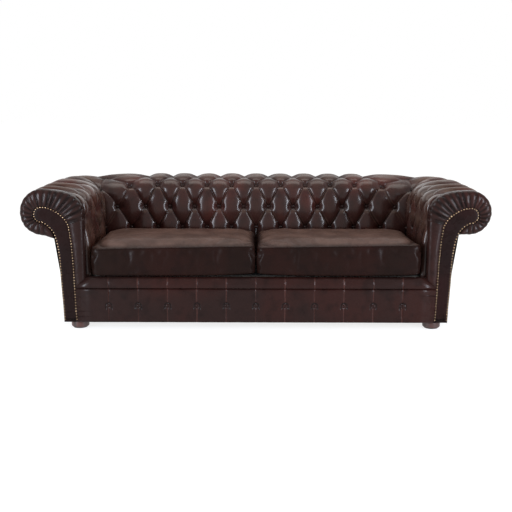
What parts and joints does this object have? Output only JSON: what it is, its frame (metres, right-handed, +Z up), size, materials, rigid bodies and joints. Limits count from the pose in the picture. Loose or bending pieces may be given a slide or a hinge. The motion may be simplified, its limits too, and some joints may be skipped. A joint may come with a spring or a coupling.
{
  "type": "sofa",
  "caption": "Rolled-arm leather sofa with a deep-buttoned back and arms, nailed scroll fronts, a pleated front border and loose seat cushions.",
  "frame": {"origin": "on the floor under the middle of the sofa's box", "axes": "+X along the seat to the sitter's left, +Y from the front to the back, +Z up; the front faces -Y"},
  "size_m": [2.38, 0.92, 0.725],
  "materials": {
    "frame_timber": "planed, unfinished",
    "foot_timber": "dark stained and lacquered",
    "webbing": "woven jute",
    "hessian": "open plain weave",
    "foam": "cut foam",
    "platform_cloth": "plain black cloth",
    "tufted_leather": "waxed antique dark brown, glossy on the crests",
    "cushion_leather": "waxed antique brown, worn on the crown",
    "border_leather": "waxed antique dark brown",
    "facing_leather": "waxed antique dark brown, stretched flat",
    "panel_leather": "waxed antique dark brown, stretched flat",
    "button_leather": "waxed antique dark brown",
    "nail_brass": "antiqued",
    "bolt_steel": "zinc plated",
    "glide_plastic": "moulded"
  },
  "bodies": {
    "sofa_frame": {"front_rail": "frame_timber", "rear_rail": "frame_timber", "side_rail_left": "frame_timber", "side_rail_right": "frame_timber", "seat_stretchers": "frame_timber", "corner_blocks": "frame_timber", "back_posts": "frame_timber", "arm_posts_left": "frame_timber", "arm_posts_right": "frame_timber", "back_top_rail": "frame_timber", "arm_top_rail_left": "frame_timber", "arm_top_rail_right": "frame_timber", "scroll_board_left": "frame_timber", "scroll_board_right": "frame_timber", "seat_webbing": "webbing", "deck_burlap": "hessian", "deck_foam": "foam", "deck_cover": "platform_cloth", "back_lining": "hessian", "arm_lining_left": "hessian", "arm_lining_right": "hessian", "front_border": "border_leather", "border_buttons": "button_leather", "seat_lip": "border_leather", "back_pad": "tufted_leather", "back_buttons": "button_leather", "arm_pad_left": "tufted_leather", "arm_pad_right": "tufted_leather", "arm_buttons_left": "button_leather", "arm_buttons_right": "button_leather", "arm_border_left": "border_leather", "arm_border_right": "border_leather", "arm_facing_left": "facing_leather", "arm_facing_right": "facing_leather", "nailheads_left": "nail_brass", "nailheads_right": "nail_brass", "outside_arm_left": "panel_leather", "outside_arm_right": "panel_leather", "outside_back": "panel_leather", "dust_cover": "platform_cloth", "foot_front_left": "foot_timber", "foot_front_right": "foot_timber", "foot_rear_left": "foot_timber", "foot_rear_right": "foot_timber", "foot_bolts": "bolt_steel", "foot_glides": "glide_plastic"},
    "cushion_left": {"cushion_left": "cushion_leather"},
    "cushion_right": {"cushion_right": "cushion_leather"}
  },
  "joints": [
    {"name": "cushion_left_lift", "type": "slide", "parent": "sofa_frame", "child": "cushion_left", "axis": [0, 0, 1], "range_m": [0, 0.45]},
    {"name": "cushion_right_lift", "type": "slide", "parent": "sofa_frame", "child": "cushion_right", "axis": [0, 0, 1], "range_m": [0, 0.45]}
  ]
}
